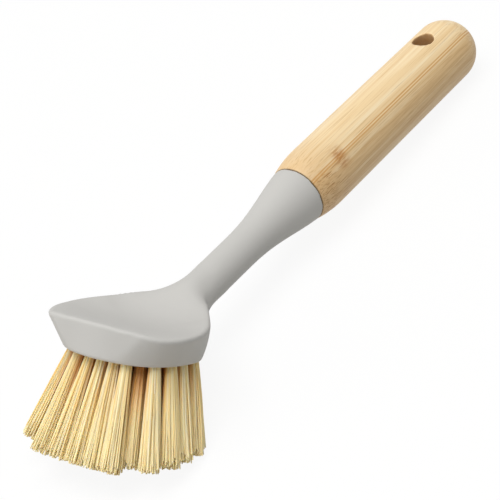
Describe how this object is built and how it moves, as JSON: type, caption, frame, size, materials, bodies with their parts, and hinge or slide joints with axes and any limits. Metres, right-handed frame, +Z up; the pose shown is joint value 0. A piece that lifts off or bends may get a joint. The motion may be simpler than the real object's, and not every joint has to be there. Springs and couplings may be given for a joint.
{
  "type": "dish brush",
  "caption": "Hand brush for washing dishes: a turned bamboo handle with a hanging hole, glued to a grey fan-shaped plastic head with rows of splayed plant-fibre tufts.",
  "frame": {"origin": "middle of the brush's footprint, on the surface that it lies on with its rear tufts and the end of its handle", "axes": "+X along the brush, from the tufts to the hanging end; +Y across it, to the left; +Z up"},
  "size_m": [0.266, 0.068, 0.0511],
  "materials": {
    "bamboo": "turned, sanded and oiled",
    "grey_plastic": "moulded, fine satin texture",
    "fibre": "natural plant fibre, trimmed",
    "anchor_wire": "plain flat wire"
  },
  "bodies": {
    "root": {"anchor_staples": "anchor_wire", "bamboo_handle": "bamboo", "head_moulding": "grey_plastic", "tuft_1_1": "fibre", "tuft_1_2": "fibre", "tuft_1_3": "fibre", "tuft_1_4": "fibre", "tuft_1_5": "fibre", "tuft_2_1": "fibre", "tuft_2_2": "fibre", "tuft_2_3": "fibre", "tuft_2_4": "fibre", "tuft_2_5": "fibre", "tuft_2_6": "fibre", "tuft_2_7": "fibre", "tuft_3_1": "fibre", "tuft_3_2": "fibre", "tuft_3_3": "fibre", "tuft_3_4": "fibre", "tuft_3_5": "fibre", "tuft_3_6": "fibre", "tuft_3_7": "fibre", "tuft_4_1": "fibre", "tuft_4_2": "fibre", "tuft_4_3": "fibre", "tuft_4_4": "fibre", "tuft_4_5": "fibre", "tuft_4_6": "fibre", "tuft_4_7": "fibre", "tuft_5_1": "fibre", "tuft_5_2": "fibre", "tuft_5_3": "fibre", "tuft_5_4": "fibre", "tuft_5_5": "fibre", "tuft_5_6": "fibre"}
  },
  "joints": []
}
